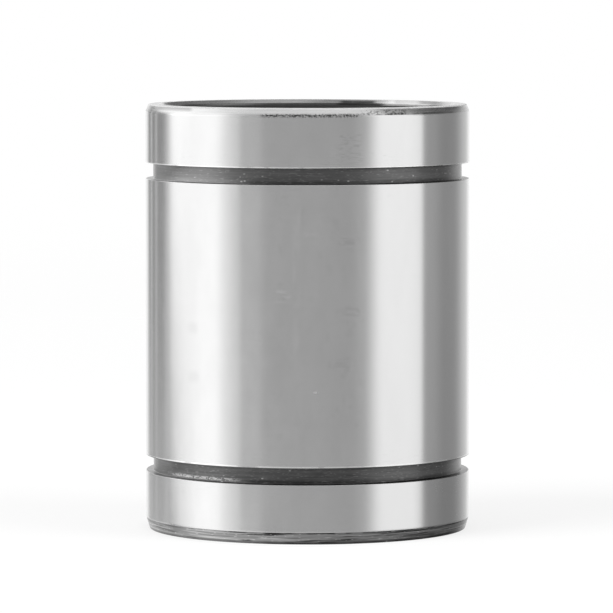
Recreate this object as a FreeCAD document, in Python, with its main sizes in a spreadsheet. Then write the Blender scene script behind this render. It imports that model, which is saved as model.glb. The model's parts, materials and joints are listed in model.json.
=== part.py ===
"""Linear ball bearing for a 20 mm shaft, standing on its lower end face, in millimetres."""

import FreeCAD, Part
import os

import Sketcher

# Driving sizes: name, value, meaning
SIZES = [
    ("shaft_dia", 20.0, "nominal diameter of the shaft that runs in the bearing"),
    ("body_length", 42.0, "outer cylinder from end face to end face"),
    ("cylinder_wall", 3.15, "outer cylinder from the raceway to the outside"),
    ("ring_groove_setback", 5.75, "end face to the near edge of an outside ring groove"),
    ("ring_groove_width", 1.6, "width of an outside ring groove"),
    ("ring_groove_depth", 0.75, "depth of an outside ring groove"),
    ("upper_lead_length", 0.7, "upper outside lead-in, along the axis"),
    ("upper_lead_depth", 0.3, "upper outside lead-in, across the axis"),
    ("lower_lead_length", 1.15, "lower outside lead-in, along the axis"),
    ("lower_lead_depth", 0.35, "lower outside lead-in, across the axis"),
    ("mouth_chamfer", 0.35, "chamfer on the inside edge of each end face"),
    ("circuits", 5, "ball circuits round the shaft"),
    ("turn_balls", 3, "balls in each half turn of a circuit"),
    ("ball_dia", 2.778, "ball diameter"),
    ("ball_gap", 0.08, "free space between neighbouring balls in a turn"),
    ("shaft_clearance", 0.022, "loaded balls to the nominal shaft"),
    ("raceway_clearance", 0.05, "loaded balls to the raceway"),
    ("channel_clearance", 0.12, "balls to the walls of their channel"),
    ("relief_clearance", 0.12, "return balls to the floor of the relief"),
    ("relief_edge", 0.75, "loaded row to the near side of the relief"),
    ("retainer_shaft_clearance", 0.25, "retainer to the nominal shaft"),
    ("retainer_clearance", 0.13, "retainer to the raceway"),
    ("retainer_rim", 1.4, "least rim of the retainer beyond a ball channel"),
    ("rib_wall", 1.2, "rib of the retainer outside the return balls"),
    ("rib_clearance", 0.15, "rib of the retainer to the relief"),
    ("seat_step", 0.05, "end seat outside the relief"),
    ("seal_recess", 0.55, "end face to the face of the seal"),
    ("seal_thickness", 2.6, "rim of the seal, along the axis"),
    ("seal_rim_width", 1.7, "rim of the seal, across the axis"),
    ("seal_web_thickness", 1.0, "web of the seal at the rim"),
    ("seal_dish", 0.5, "depth of the lip below the face of the seal"),
    ("seal_lip_width", 0.5, "land of the lip on the shaft"),
    ("snap_ring_thickness", 1.0, "snap ring along the axis"),
    ("snap_ring_width", 2.6, "snap ring across the axis"),
    ("snap_ring_gap", 4.0, "opening between the ends of a snap ring"),
    ("snap_groove_depth", 0.45, "groove of the snap ring below the end seat"),
    ("snap_groove_clearance", 0.05, "snap ring to each side of its groove"),
]

# Sizes that follow from the driving ones: name, expression, meaning
LAYOUT = [
    ("shaft_radius", "sizes.shaft_dia / 2", "nominal shaft"),
    ("ball_radius", "sizes.ball_dia / 2", "ball"),
    ("channel_radius", "layout.ball_radius + sizes.channel_clearance", "round floor of a ball channel"),
    ("turn_radius", "(sizes.ball_dia + sizes.ball_gap) / (2 * sin(90 deg / sizes.turn_balls))",
     "path of the ball centres in a turn, so that neighbours there keep the gap"),
    ("row_spacing", "2 * layout.turn_radius", "loaded row to return row"),
    ("ball_pitch", "pi * layout.turn_radius / sizes.turn_balls", "ball to ball along the path"),
    ("loaded_row_radius", "layout.shaft_radius + sizes.shaft_clearance + layout.ball_radius",
     "bearing axis to the loaded row"),
    ("raceway_radius", "layout.loaded_row_radius + layout.ball_radius + sizes.raceway_clearance",
     "bore of the outer cylinder"),
    ("return_row_radius", "sqrt(layout.loaded_row_radius ^ 2 + layout.row_spacing ^ 2)",
     "bearing axis to the return row"),
    ("relief_radius", "layout.return_row_radius + layout.ball_radius + sizes.relief_clearance",
     "floor of the relief behind the return row"),
    ("rib_far", "layout.row_spacing + layout.channel_radius + sizes.rib_wall",
     "loaded row to the far side of the rib"),
    ("outer_radius", "layout.raceway_radius + sizes.cylinder_wall", "outside of the bearing"),
    ("seat_radius", "layout.relief_radius + sizes.seat_step", "end seat of the seal"),
    ("snap_ring_radius", "layout.seat_radius + sizes.snap_groove_depth", "outside of the snap ring"),
    ("snap_ring_depth", "sizes.seal_recess + sizes.seal_thickness", "end face to the snap ring"),
    ("stack_depth", "layout.snap_ring_depth + sizes.snap_ring_thickness", "end face to the retainer"),
    ("seat_depth", "layout.stack_depth + sizes.snap_groove_clearance", "end face to the floor of the seat"),
    ("retainer_bore_radius", "layout.shaft_radius + sizes.retainer_shaft_clearance", "bore of the retainer"),
    ("retainer_radius", "layout.raceway_radius - sizes.retainer_clearance", "outside of the retainer"),
    ("turn_reach", "sizes.retainer_rim + layout.channel_radius + layout.turn_radius",
     "retainer end to the centre of a turn, at the least"),
    ("row_balls", "floor((sizes.body_length - 2 * (layout.stack_depth + layout.turn_reach)) / layout.ball_pitch)",
     "balls that fit in each straight row"),
    ("row_length", "layout.row_balls * layout.ball_pitch", "straight stretch of a circuit"),
    ("middle", "sizes.body_length / 2", "height of the bearing's middle"),
    ("lower_turn", "layout.middle - layout.row_length / 2", "height of the lower turn's centre"),
    ("upper_turn", "layout.middle + layout.row_length / 2", "height of the upper turn's centre"),
]

# Room by which a cut starts outside the surface that it goes into
OVERRUN = "sizes.cylinder_wall"

# Least volume that each step of a body adds or takes away
LEAST_CHANGE = 1e-6

ENDS = ("lower", "upper")

doc = FreeCAD.newDocument("linear_ball_bearing")


# Sizes

def make_sizes():
    """Fill the sheet of driving sizes."""
    sheet = doc.addObject("Spreadsheet::Sheet", "sizes")
    for row, (name, number, meaning) in enumerate(SIZES, start=1):
        sheet.set(f"A{row}", name)
        sheet.set(f"B{row}", str(number))
        sheet.setAlias(f"B{row}", name)
        sheet.set(f"C{row}", meaning)
    doc.recompute()
    return sheet


def make_layout():
    """Make the set of sizes that follow from the sheet."""
    layout = doc.addObject("App::VarSet", "layout")
    for name, expression, meaning in LAYOUT:
        layout.addProperty("App::PropertyFloat", name, "Layout", meaning)
        layout.setExpression(name, expression)
    doc.recompute()
    return layout


sizes = make_sizes()
layout = make_layout()


def value(expression):
    """Number that an expression on the sizes stands for now."""
    return float(layout.evalExpression(expression))


def from_end(end, depth):
    """Height of a point that lies a depth inside the lower or the upper end face."""
    if end == "lower":
        return depth
    return f"sizes.body_length - ({depth})"


# Sketches and features

def new_body(label):
    """Empty body whose label names its file."""
    body = doc.addObject("PartDesign::Body", label)
    body.Label = label
    return body


def origin_feature(body, role):
    """Origin plane or axis of a body."""
    return next(item for item in body.Origin.OriginFeatures if item.Role == role)


def new_sketch(body, name, role, offset=None):
    """Empty sketch on an origin plane of its body, moved off it by an offset."""
    sketch = body.newObject("Sketcher::SketchObject", f"{body.Label}_{name}")
    sketch.AttachmentSupport = (origin_feature(body, role), [""])
    sketch.MapMode = "FlatFace"
    if offset is not None:
        sketch.setExpression("AttachmentOffset.Base.z", offset)
    return sketch


def fix(sketch, kind, target, expression):
    """Bind one dimension of a sketch to an expression."""
    number = sketch.addConstraint(Sketcher.Constraint(kind, *target, value(expression)))
    sketch.setExpression(f"Constraints[{number}]", expression)


def fix_across(sketch, item, point, expression):
    """Bind a point's distance from the sketch's upright axis."""
    fix(sketch, "DistanceX", (-1, 1, item, point), expression)


def fix_up(sketch, item, point, expression):
    """Bind a point's distance from the sketch's level axis."""
    fix(sketch, "DistanceY", (-1, 1, item, point), expression)


def join(sketch, first, first_point, second, second_point):
    """Make two points of a sketch one."""
    sketch.addConstraint(Sketcher.Constraint("Coincident", first, first_point, second, second_point))


def add_outline(sketch, corners):
    """Add a closed outline of straight lines, each corner a pair of expressions."""
    points = [FreeCAD.Vector(value(across), value(up), 0) for across, up in corners]
    first = sketch.GeometryCount
    for start, end in zip(points, points[1:] + points[:1]):
        sketch.addGeometry(Part.LineSegment(start, end), False)
    count = len(corners)
    for number, (across, up) in enumerate(corners):
        join(sketch, first + number, 2, first + (number + 1) % count, 1)
        fix_across(sketch, first + number, 1, across)
        fix_up(sketch, first + number, 1, up)


def add_rectangle(sketch, inside, outside, low, high):
    """Add an upright rectangle between four expressions."""
    add_outline(sketch, [(inside, low), (outside, low), (outside, high), (inside, high)])


def add_flat_sided_sector(sketch, inside, outside, near, far):
    """Add a ring sector whose two sides are level lines, at heights near and far."""
    inside_radius, outside_radius = value(inside), value(outside)
    heights = (value(near), value(far))
    inner = [FreeCAD.Vector((inside_radius ** 2 - up ** 2) ** 0.5, up, 0) for up in heights]
    outer = [FreeCAD.Vector((outside_radius ** 2 - up ** 2) ** 0.5, up, 0) for up in heights]
    near_side = sketch.addGeometry(Part.LineSegment(inner[0], outer[0]), False)
    far_side = sketch.addGeometry(Part.LineSegment(outer[1], inner[1]), False)
    arcs = []
    for radius, ends in ((outside, outer), (inside, inner)):
        circle = Part.Circle(FreeCAD.Vector(), FreeCAD.Vector(0, 0, 1), value(radius))
        angles = [circle.parameter(end) for end in ends]
        arc = sketch.addGeometry(Part.ArcOfCircle(circle, *angles), False)
        join(sketch, arc, 3, -1, 1)
        fix(sketch, "Radius", (arc,), radius)
        arcs.append(arc)
    outer_arc, inner_arc = arcs
    join(sketch, near_side, 2, outer_arc, 1)
    join(sketch, outer_arc, 2, far_side, 1)
    join(sketch, far_side, 2, inner_arc, 2)
    join(sketch, inner_arc, 1, near_side, 1)
    for side, up in ((near_side, near), (far_side, far)):
        sketch.addConstraint(Sketcher.Constraint("Horizontal", side))
        fix_up(sketch, side, 1, up)


def add_circuit_path(sketch):
    """Add the endless path of the ball centres: two straight rows and two half turns."""
    radius, spacing = value("layout.turn_radius"), value("layout.row_spacing")
    low, high = value("layout.lower_turn"), value("layout.upper_turn")
    half_turn = value("pi")
    corner = FreeCAD.Vector
    loaded = sketch.addGeometry(Part.LineSegment(corner(0, low, 0), corner(0, high, 0)), False)
    circle = Part.Circle(corner(radius, high, 0), corner(0, 0, 1), radius)
    upper = sketch.addGeometry(Part.ArcOfCircle(circle, 0, half_turn), False)
    back = sketch.addGeometry(Part.LineSegment(corner(spacing, high, 0), corner(spacing, low, 0)), False)
    circle = Part.Circle(corner(radius, low, 0), corner(0, 0, 1), radius)
    lower = sketch.addGeometry(Part.ArcOfCircle(circle, half_turn, 2 * half_turn), False)
    join(sketch, loaded, 2, upper, 2)
    join(sketch, upper, 1, back, 1)
    join(sketch, back, 2, lower, 2)
    join(sketch, lower, 1, loaded, 1)
    for arc, height in ((upper, "layout.upper_turn"), (lower, "layout.lower_turn")):
        fix_across(sketch, arc, 3, "layout.turn_radius")
        fix_up(sketch, arc, 3, height)
        fix_up(sketch, arc, 1, height)
        fix_up(sketch, arc, 2, height)
        fix(sketch, "Radius", (arc,), "layout.turn_radius")


def add_channel_section(sketch, reach):
    """Add the section of a ball channel: a round floor, and straight sides that open outwards."""
    centre, radius = value("layout.loaded_row_radius"), value("layout.channel_radius")
    corner = FreeCAD.Vector
    points = [corner(centre, -radius, 0), corner(value(reach), -radius, 0)]
    points += [corner(value(reach), radius, 0), corner(centre, radius, 0)]
    sides = [Part.LineSegment(start, end) for start, end in zip(points, points[1:])]
    right, mouth, left = [sketch.addGeometry(side, False) for side in sides]
    floor = sketch.addGeometry(Part.Arc(points[3], corner(centre - radius, 0, 0), points[0]), False)
    join(sketch, right, 2, mouth, 1)
    join(sketch, mouth, 2, left, 1)
    join(sketch, left, 2, floor, 1)
    join(sketch, floor, 2, right, 1)
    sketch.addConstraint(Sketcher.Constraint("Horizontal", right))
    sketch.addConstraint(Sketcher.Constraint("Vertical", mouth))
    sketch.addConstraint(Sketcher.Constraint("Horizontal", left))
    sketch.addConstraint(Sketcher.Constraint("PointOnObject", floor, 3, -1))
    fix_across(sketch, floor, 3, "layout.loaded_row_radius")
    fix_across(sketch, right, 1, "layout.loaded_row_radius")
    fix_across(sketch, left, 2, "layout.loaded_row_radius")
    fix_across(sketch, mouth, 1, reach)
    fix(sketch, "Radius", (floor,), "layout.channel_radius")


def turn(body, kind, name, sketch):
    """Turn a sketch once round the bearing axis, as a solid or as a cut."""
    feature = body.newObject(f"PartDesign::{kind}", f"{body.Label}_{name}")
    feature.Profile = sketch
    feature.ReferenceAxis = (sketch, ["V_Axis"])
    feature.Angle = 360
    return feature


def cut_through(body, name, sketch):
    """Cut a level sketch upwards through the whole body."""
    feature = body.newObject("PartDesign::Pocket", f"{body.Label}_{name}")
    feature.Profile = sketch
    feature.Type = "ThroughAll"
    feature.Reversed = True
    return feature


def repeat_per_circuit(body, name, features):
    """Repeat features of a body once for each ball circuit."""
    pattern = body.newObject("PartDesign::PolarPattern", f"{body.Label}_{name}")
    pattern.Originals = features
    pattern.Axis = (origin_feature(body, "Z_Axis"), [""])
    pattern.Angle = 360
    pattern.setExpression("Occurrences", "sizes.circuits")
    body.Tip = pattern


# Sub-parts

def make_outer_cylinder():
    """Ground steel sleeve: raceway, reliefs for the return balls, end seats and ring grooves."""
    body = new_body("outer_cylinder")

    blank = new_sketch(body, "blank", "XZ_Plane")
    add_outline(blank, [
        ("layout.raceway_radius", "0"),
        ("layout.outer_radius - sizes.lower_lead_depth", "0"),
        ("layout.outer_radius", "sizes.lower_lead_length"),
        ("layout.outer_radius", from_end("upper", "sizes.upper_lead_length")),
        ("layout.outer_radius - sizes.upper_lead_depth", from_end("upper", "0")),
        ("layout.raceway_radius", from_end("upper", "0")),
    ])
    turn(body, "Revolution", "turned_blank", blank)

    grooves = new_sketch(body, "grooves", "XZ_Plane")
    seats = new_sketch(body, "seats", "XZ_Plane")
    snap_grooves = new_sketch(body, "snap_grooves", "XZ_Plane")
    for end in ENDS:
        add_rectangle(
            grooves, "layout.outer_radius - sizes.ring_groove_depth", f"layout.outer_radius + {OVERRUN}",
            from_end(end, "sizes.ring_groove_setback"),
            from_end(end, "sizes.ring_groove_setback + sizes.ring_groove_width"),
        )
        add_outline(seats, [
            ("layout.shaft_radius", from_end(end, "0")),
            ("layout.seat_radius + sizes.mouth_chamfer", from_end(end, "0")),
            ("layout.seat_radius", from_end(end, "sizes.mouth_chamfer")),
            ("layout.seat_radius", from_end(end, "layout.seat_depth")),
            ("layout.shaft_radius", from_end(end, "layout.seat_depth")),
        ])
        add_rectangle(
            snap_grooves, "layout.shaft_radius", "layout.snap_ring_radius",
            from_end(end, "layout.snap_ring_depth - sizes.snap_groove_clearance"),
            from_end(end, "layout.seat_depth"),
        )
    turn(body, "Groove", "ring_grooves", grooves)
    turn(body, "Groove", "end_seats", seats)
    turn(body, "Groove", "snap_ring_grooves", snap_grooves)

    relief = new_sketch(body, "relief", "XY_Plane")
    add_flat_sided_sector(
        relief, "layout.loaded_row_radius", "layout.relief_radius",
        "sizes.relief_edge", "layout.rib_far + sizes.rib_clearance",
    )
    repeat_per_circuit(body, "reliefs", [cut_through(body, "return_relief", relief)])
    return body


def make_retainer():
    """Moulded cage: a sleeve with a rib in each relief and an endless ball channel for each circuit."""
    body = new_body("ball_retainer")

    sleeve = new_sketch(body, "sleeve", "XZ_Plane")
    low, high = [from_end(end, "layout.stack_depth") for end in ENDS]
    add_rectangle(sleeve, "layout.retainer_bore_radius", "layout.retainer_radius", low, high)
    turn(body, "Revolution", "moulded_sleeve", sleeve)

    section = new_sketch(body, "rib", "XY_Plane", "layout.stack_depth")
    add_flat_sided_sector(
        section, "layout.loaded_row_radius", "layout.relief_radius - sizes.rib_clearance",
        "sizes.relief_edge + sizes.rib_clearance", "layout.rib_far",
    )
    rib = body.newObject("PartDesign::Pad", "ball_retainer_relief_rib")
    rib.Profile = section
    rib.setExpression("Length", "sizes.body_length - 2 * layout.stack_depth")

    profile = new_sketch(body, "channel", "XY_Plane", "layout.lower_turn")
    add_channel_section(profile, "layout.relief_radius")
    path = new_sketch(body, "path", "YZ_Plane", "layout.loaded_row_radius")
    add_circuit_path(path)
    channel = body.newObject("PartDesign::SubtractivePipe", "ball_retainer_ball_channel")
    channel.Profile = profile
    channel.Spine = (path, [f"Edge{number + 1}" for number in range(path.GeometryCount)])

    repeat_per_circuit(body, "channels", [rib, channel])
    return body


def make_seal(end):
    """Rubber end seal: a rim in the end seat, and a dished web with a lip on the shaft."""
    body = new_body(f"{end}_seal")
    section = new_sketch(body, "section", "XZ_Plane")
    rim = "layout.seat_radius - sizes.seal_rim_width"
    add_outline(section, [
        ("layout.seat_radius", from_end(end, "sizes.seal_recess")),
        ("layout.seat_radius", from_end(end, "layout.snap_ring_depth")),
        (rim, from_end(end, "layout.snap_ring_depth")),
        (rim, from_end(end, "sizes.seal_recess + sizes.seal_web_thickness")),
        ("layout.shaft_radius", from_end(end, "sizes.seal_recess + sizes.seal_dish + sizes.seal_lip_width")),
        ("layout.shaft_radius", from_end(end, "sizes.seal_recess + sizes.seal_dish")),
        (rim, from_end(end, "sizes.seal_recess")),
    ])
    turn(body, "Revolution", "moulded_ring", section)
    return body


def make_snap_ring(end):
    """Flat spring ring, open on one side, that holds the retainer."""
    body = new_body(f"{end}_snap_ring")
    section = new_sketch(body, "section", "XZ_Plane")
    add_rectangle(
        section, "layout.snap_ring_radius - sizes.snap_ring_width", "layout.snap_ring_radius",
        from_end(end, "layout.snap_ring_depth"), from_end(end, "layout.stack_depth"),
    )
    turn(body, "Revolution", "flat_ring", section)
    gap = new_sketch(body, "gap", "XY_Plane")
    add_rectangle(
        gap, "layout.shaft_radius", f"layout.snap_ring_radius + {OVERRUN}",
        "-sizes.snap_ring_gap / 2", "sizes.snap_ring_gap / 2",
    )
    cut_through(body, "opening", gap)
    return body


def row_places(across):
    """Places of the balls of a straight row, in its circuit's own directions."""
    count = int(layout.row_balls)
    first = "layout.lower_turn + layout.ball_pitch / 2"
    return [(across, f"{first} + {number} * layout.ball_pitch") for number in range(count)]


def turn_places(height, sense):
    """Places of the balls of a half turn, in its circuit's own directions."""
    places = []
    for number in range(int(sizes.turn_balls)):
        angle = f"({number} + 0.5) * 180 deg / sizes.turn_balls"
        across = f"layout.turn_radius * (1 - cos({angle}))"
        places.append((across, f"{height} {sense} layout.turn_radius * sin({angle})"))
    return places


def make_ball_group(circuit, name, places):
    """Loose balls of one stretch of a circuit, turned to the circuit's place round the axis."""
    label = f"circuit_{circuit + 1}_{name}"
    balls = []
    for number, (across, up) in enumerate(places):
        ball = doc.addObject("Part::Sphere", f"{label}_{number + 1}")
        ball.setExpression("Radius", "layout.ball_radius")
        ball.setExpression("Placement.Base.x", "layout.loaded_row_radius")
        ball.setExpression("Placement.Base.y", across)
        ball.setExpression("Placement.Base.z", up)
        balls.append(ball)
    group = doc.addObject("Part::Compound", label)
    group.Label = label
    group.Links = balls
    group.setExpression("Placement.Rotation.Angle", f"{circuit} * 360 deg / sizes.circuits")
    return group


def make_circuit(circuit):
    """Balls of one circuit, as the four stretches that move in different directions."""
    stretches = {
        "loaded_balls": row_places("0"),
        "return_balls": row_places("layout.row_spacing"),
        "upper_turn_balls": turn_places("layout.upper_turn", "+"),
        "lower_turn_balls": turn_places("layout.lower_turn", "-"),
    }
    return [make_ball_group(circuit, name, places) for name, places in stretches.items()]


# Checks and files

def check_objects():
    """Stop if any object failed, or if any step of a body left it as it was."""
    for item in doc.Objects:
        if "Invalid" in item.State or "Error" in item.State:
            raise RuntimeError(f"{item.Name} failed: {item.getStatusString()}")
        base = getattr(item, "BaseFeature", None)
        if base is not None and abs(item.Shape.Volume - base.Shape.Volume) < LEAST_CHANGE:
            raise RuntimeError(f"{item.Name} changed nothing")


def check_shape(part):
    """Stop if a sub-part has no sound solid."""
    shape = part.Shape
    if shape.isNull() or not shape.isValid() or not shape.Solids:
        raise RuntimeError(f"{part.Label} has no sound shape")


def main():
    """Build every sub-part, check it and write its file."""
    parts = [make_outer_cylinder(), make_retainer()]
    for end in ENDS:
        parts.append(make_seal(end))
        parts.append(make_snap_ring(end))
    for circuit in range(int(sizes.circuits)):
        parts.extend(make_circuit(circuit))
    doc.recompute()

    check_objects()
    os.makedirs("parts", exist_ok=True)
    for part in parts:
        check_shape(part)
        part.Shape.exportStep(f"parts/{part.Label}.step")
        print(f"{part.Label}: {len(part.Shape.Solids)} solids, {part.Shape.Volume:.2f} mm3")


main()
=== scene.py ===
"""Looks of a linear ball bearing that stands on its end, in metres, around the frame of its solids."""

import json
import logging
import math
from contextlib import contextmanager
from dataclasses import dataclass
from enum import Enum
from typing import Any, Callable, Iterator, Mapping, Optional, Sequence, Union

import bmesh
import bpy
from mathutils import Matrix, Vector


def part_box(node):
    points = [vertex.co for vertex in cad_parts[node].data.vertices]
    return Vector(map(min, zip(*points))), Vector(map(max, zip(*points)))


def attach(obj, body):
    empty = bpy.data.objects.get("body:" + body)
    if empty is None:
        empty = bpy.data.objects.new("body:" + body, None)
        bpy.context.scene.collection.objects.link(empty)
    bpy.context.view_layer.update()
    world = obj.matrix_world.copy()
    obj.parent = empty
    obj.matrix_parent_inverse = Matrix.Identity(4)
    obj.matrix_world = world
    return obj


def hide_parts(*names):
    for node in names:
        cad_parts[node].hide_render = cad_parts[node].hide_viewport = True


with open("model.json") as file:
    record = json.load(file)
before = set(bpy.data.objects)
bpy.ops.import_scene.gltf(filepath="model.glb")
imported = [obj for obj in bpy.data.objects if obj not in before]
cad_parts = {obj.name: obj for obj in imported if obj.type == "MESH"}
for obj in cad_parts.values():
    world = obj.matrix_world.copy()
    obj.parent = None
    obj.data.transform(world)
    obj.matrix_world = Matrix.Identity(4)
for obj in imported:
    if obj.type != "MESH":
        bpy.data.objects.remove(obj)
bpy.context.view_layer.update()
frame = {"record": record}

MM = 0.001

# Steps of a full turn, for pieces whose reflections show and for pieces inside
FINE_STEPS = 288
INNER_STEPS = 192

# Vertices closer than this are one
MERGE_DISTANCE = 0.0005 * MM

# Faces that meet at less than this angle are shaded as one surface
SMOOTH_ANGLE = math.radians(32)

# Percent by which a larger face outweighs a smaller one in the normals that they share
LARGE_FACE_WEIGHT = 100

# Segments of a rounded edge
EDGE_SEGMENTS = 4

# Room left when the middle of a face is compared with an edge, and with a flat end
TOUCH = 0.02 * MM
FLAT = 0.001 * MM

# Ball circuits round the axis, and the body that carries everything but the balls
CIRCUITS = 5
HOUSING = "housing"

log = logging.getLogger("linear_ball_bearing")

Numbers = Sequence[float]
Colour = tuple[float, float, float]


def grain(across: float, up: float) -> tuple[float, float, float]:
    """Grain of a noise in metres, from millimetres across the bearing's axis and along it."""
    return (across * MM, across * MM, up * MM)


def grey(value: float) -> Colour:
    """Colour of a plain grey."""
    return (value, value, value)


WHITE = grey(1.0)


class End(Enum):
    """The two ends of the bearing."""

    LOWER = "lower"
    UPPER = "upper"

    def height(self, length: float, depth: float) -> float:
        """Height of a point that lies a depth inside this end of a bearing of that length."""
        return depth if self is End.LOWER else length - depth


class Stretch(Enum):
    """The four stretches of a ball circuit that move in different directions."""

    LOADED = "loaded"
    RETURN = "return"
    UPPER_TURN = "upper_turn"
    LOWER_TURN = "lower_turn"


class SleeveZone(Enum):
    """The finishes that the outer cylinder has."""

    GROUND = "ground lands"
    GROOVED = "dark turned ring grooves"
    LED_IN = "rough turned lower lead-in"
    FACED = "bright turned upper lead-in and end faces"
    # The mouths' and seats' dark and bright stretches at the back are painted reflections
    MOUTH = "bright turned chamfers of the mouths, with oil"
    BROKEN_EDGE = "light satin edge that was broken with a stone"
    SEATED = "dark oily seats round the seals"
    BORED = "seats, raceway and reliefs inside"


class Joining(Enum):
    """The two ways in which a tool changes a piece."""

    CUT = "DIFFERENCE"
    ADD = "UNION"


# Shader values

Link = Union["Signal", float, Numbers]


class Signal:
    """Output of a shader node, which takes part in arithmetic."""

    def __init__(self, board: "ShaderBoard", socket: bpy.types.NodeSocket) -> None:
        """Keep an output and the board that its node is on."""
        self.board = board
        self.socket = socket

    def output(self, name: str) -> "Signal":
        """Another output of the same node."""
        return Signal(self.board, self.socket.node.outputs[name])

    def math(self, operation: str, *others: Link) -> "Signal":
        """Result of a Math node on this value and others."""
        return self.board.math(operation, self, *others)

    def __add__(self, other: Link) -> "Signal":
        """This value plus another."""
        return self.board.math("ADD", self, other)

    def __radd__(self, other: Link) -> "Signal":
        """Another value plus this one."""
        return self.board.math("ADD", other, self)

    def __sub__(self, other: Link) -> "Signal":
        """This value less another."""
        return self.board.math("SUBTRACT", self, other)

    def __rsub__(self, other: Link) -> "Signal":
        """Another value less this one."""
        return self.board.math("SUBTRACT", other, self)

    def __mul__(self, other: Link) -> "Signal":
        """This value times another."""
        return self.board.math("MULTIPLY", self, other)

    def __rmul__(self, other: Link) -> "Signal":
        """Another value times this one."""
        return self.board.math("MULTIPLY", other, self)

    def __truediv__(self, other: Link) -> "Signal":
        """This value over another."""
        return self.board.math("DIVIDE", self, other)

    def rise(self, middle: float, width: float) -> "Signal":
        """Smooth step from 0 to 1 as this value passes a middle.

        Args:
            middle: The value at which the step is half way.
            width: How much the value changes over the whole step.

        Returns:
            The step, from 0 to 1.
        """
        inputs = {"Value": self, "From Min": middle - width / 2, "From Max": middle + width / 2}
        return self.board.node("ShaderNodeMapRange", {"interpolation_type": "SMOOTHSTEP"}, inputs)

    def window(self, start: float, end: float, start_blur: float, end_blur: float) -> "Signal":
        """Smooth window that is 1 between two values and 0 outside them.

        Args:
            start: The value at which the window opens.
            end: The value at which it closes.
            start_blur: How much the value changes while it opens.
            end_blur: How much the value changes while it closes.

        Returns:
            The window, from 0 to 1.
        """
        return self.rise(start, start_blur) * (1.0 - self.rise(end, end_blur))


class ShaderBoard:
    """Node tree of one material or of the world, and the nodes that are put on it."""

    def __init__(self, tree: bpy.types.NodeTree) -> None:
        """Take over a node tree and clear it."""
        self.tree = tree
        tree.nodes.clear()

    def node(
        self,
        kind: str,
        settings: Optional[Mapping[str, Any]] = None,
        inputs: Optional[Mapping[Union[str, int], Link]] = None,
        output: Union[str, int] = 0,
    ) -> Signal:
        """Add a node.

        Args:
            kind: The node's type.
            settings: Its settings, which are set first.
            inputs: The values or links of its sockets.
            output: The output to return.

        Returns:
            The node's output.
        """
        made = self.tree.nodes.new(kind)
        for name, setting in (settings or {}).items():
            setattr(made, name, setting)
        for key, given in (inputs or {}).items():
            if isinstance(given, Signal):
                self.tree.links.new(given.socket, made.inputs[key])
            elif made.inputs[key].type == "RGBA":
                made.inputs[key].default_value = (*given, 1.0)
            else:
                made.inputs[key].default_value = given
        return Signal(self, made.outputs[output])

    def math(self, operation: str, *values: Link) -> Signal:
        """Result of a Math node on values."""
        return self.node("ShaderNodeMath", {"operation": operation}, dict(enumerate(values)))

    def place(self) -> Signal:
        """Place on the piece, in the frame's own metres."""
        return self.node("ShaderNodeTexCoord", output="Object")

    def stretched(self, place: Signal, grains: Numbers) -> Signal:
        """Place measured in grains of a given size along each axis."""
        scale = [1.0 / size for size in grains]
        return self.node("ShaderNodeVectorMath", {"operation": "MULTIPLY"}, {0: place, 1: scale})

    def noise(self, place: Signal, grains: Numbers, detail: float = 1.0) -> Signal:
        """Soft noise around 0.5.

        Args:
            place: The place on the piece.
            grains: Size of the noise along each axis, in metres.
            detail: How many finer octaves it has.

        Returns:
            The noise.
        """
        inputs = {"Vector": self.stretched(place, grains), "Scale": 1.0, "Detail": detail}
        return self.node("ShaderNodeTexNoise", {"normalize": True}, inputs, "Fac")

    def dots(self, place: Signal, spacing: Numbers, radius: float) -> Signal:
        """Scattered round dots, 1 inside and 0 outside.

        Args:
            place: The place on the piece.
            spacing: Spacing of the dots along each axis, in metres.
            radius: Radius of a dot, in spacings.

        Returns:
            The dots.
        """
        inputs = {"Vector": self.stretched(place, spacing), "Scale": 1.0}
        distance = self.node("ShaderNodeTexVoronoi", {"feature": "F1"}, inputs, "Distance")
        return 1.0 - distance.rise(radius, radius)

    def tinted(self, colour: Colour, tone: Link) -> Signal:
        """Colour made lighter or darker by a tone."""
        inputs = {0: colour, "Scale": tone}
        return self.node("ShaderNodeVectorMath", {"operation": "SCALE"}, inputs)

    def blended(self, share: Link, first: Link, second: Link) -> Signal:
        """Colour between two, by the share of the second."""
        return self.node("ShaderNodeMix", {"data_type": "RGBA"}, {0: share, 6: first, 7: second}, 2)

    def varied(self, base: float, shares: Sequence[tuple[float, Signal]]) -> Signal:
        """Value that swings about a base with some noises.

        Args:
            base: The value where every noise is at its middle, 0.5.
            shares: How far the value swings with each noise, and the noise.

        Returns:
            The value.
        """
        value: Link = base
        for share, noise in shares:
            value = value + share * (noise - 0.5)
        return value

    def relief(self, height: Signal, depth: float) -> Signal:
        """Normal of a surface whose height varies over a depth in metres."""
        return self.node("ShaderNodeBump", {}, {"Height": height, "Distance": depth}, "Normal")

    def show(self, shader: Signal, kind: str = "ShaderNodeOutputMaterial") -> None:
        """Send a shader to the tree's output."""
        target = self.tree.nodes.new(kind)
        self.tree.links.new(shader.socket, target.inputs["Surface"])

    def show_principled(self, inputs: Mapping[str, Link]) -> None:
        """Send a Principled shader with these inputs to the material's output."""
        self.show(self.node("ShaderNodeBsdfPrincipled", {}, inputs))


def new_material(name: str) -> tuple[bpy.types.Material, ShaderBoard]:
    """Make a material.

    Args:
        name: Its name.

    Returns:
        The material and the empty board of its nodes.
    """
    material = bpy.data.materials.new(name)
    material.use_nodes = True
    return material, ShaderBoard(material.node_tree)


# Finishes

# Share of a full turn that sets a stretched reflection upright
UPRIGHT = 0.25

# Width of the soft step between the marks of the front and of the back, in millimetres
SIDE_BLUR = 1.0


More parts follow.
